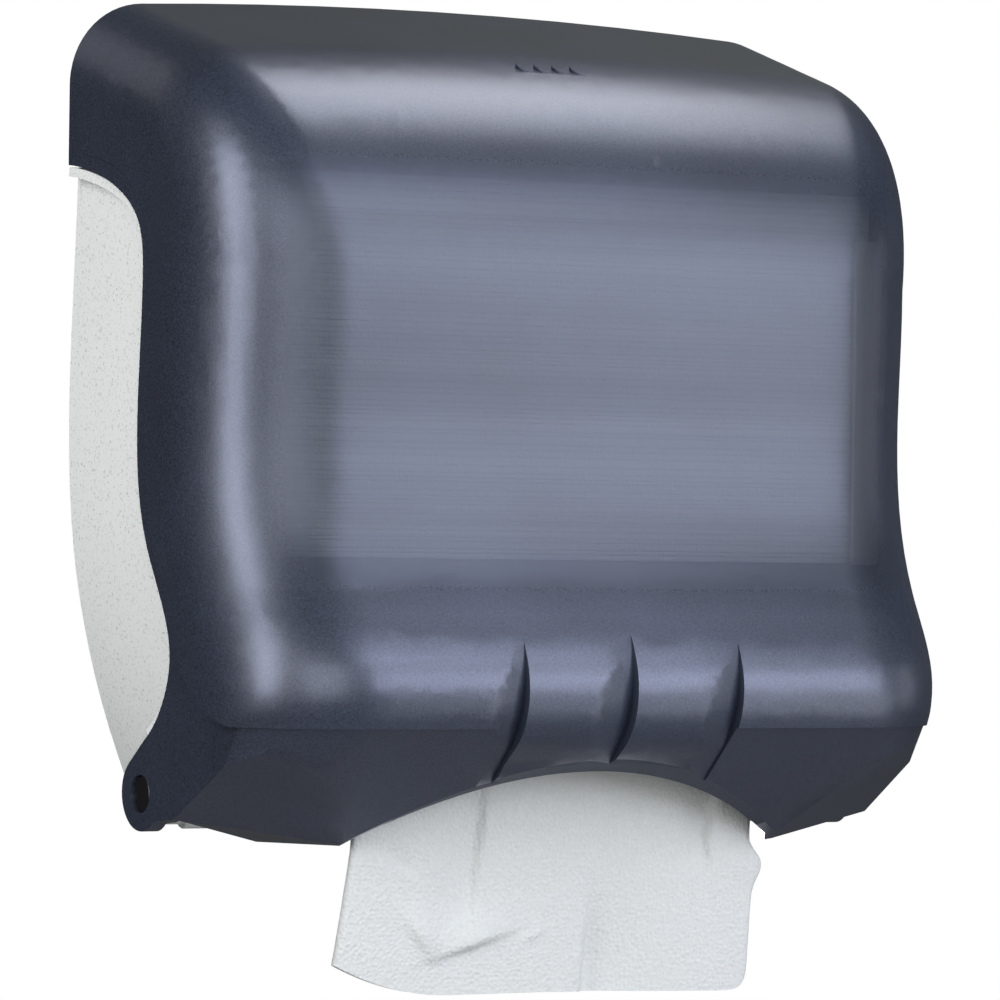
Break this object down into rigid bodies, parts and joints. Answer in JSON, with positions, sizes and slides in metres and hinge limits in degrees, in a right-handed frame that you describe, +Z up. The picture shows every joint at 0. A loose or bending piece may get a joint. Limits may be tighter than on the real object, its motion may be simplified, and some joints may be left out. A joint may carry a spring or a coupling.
{
  "type": "multifold towel dispenser",
  "caption": "Wall-mounted multifold paper towel dispenser: smoked hinged cover with a swelling chin and towel arch, pale back chassis, inner shelf, side guides and sliding lock.",
  "frame": {"origin": "centre of the four wall-screw holes, on the back plate's rear face", "axes": "+X to the viewer's right, +Y into the wall, +Z up; the front looks along -Y"},
  "size_m": [0.292, 0.1536, 0.3458],
  "materials": {
    "smoked_cover": "smoked pearl translucent moulding",
    "speckled_chassis": "fine speckled moulding",
    "black_pin": "black moulded",
    "clip_steel": "spring steel",
    "shelf_plastic": "grey moulding",
    "screw_steel": "zinc plated",
    "keeper_plastic": "dark moulding",
    "bolt_steel": "plated steel",
    "catch_steel": "bent strip",
    "stop_rubber": "moulded rubber",
    "towel_paper": "folded paper"
  },
  "bodies": {
    "chassis": {"back_chassis": "speckled_chassis", "hinge_pin_left": "black_pin", "hinge_pin_right": "black_pin", "pin_clip_left": "clip_steel", "pin_clip_right": "clip_steel", "shelf": "shelf_plastic", "shelf_screws": "screw_steel", "guide_left": "shelf_plastic", "guide_right": "shelf_plastic", "guide_screws": "screw_steel", "bolt_keeper": "keeper_plastic", "keeper_screws": "screw_steel", "stop_bumper_left": "stop_rubber", "stop_bumper_right": "stop_rubber", "towel_stack": "towel_paper", "hanging_towel": "towel_paper"},
    "cover": {"cover": "smoked_cover", "cover_catch": "catch_steel", "catch_screws": "screw_steel"},
    "bolt": {"lock_bolt": "bolt_steel"}
  },
  "joints": [
    {"name": "cover_hinge", "type": "hinge", "parent": "chassis", "child": "cover", "pos_m": [0, -0.055, -0.1288], "axis": [1, 0, 0], "range_deg": [0, 90], "deforming": ["hanging_towel"]},
    {"name": "bolt_slide", "type": "slide", "parent": "chassis", "child": "bolt", "axis": [1, 0, 0], "range_m": [0, 0.007]}
  ]
}
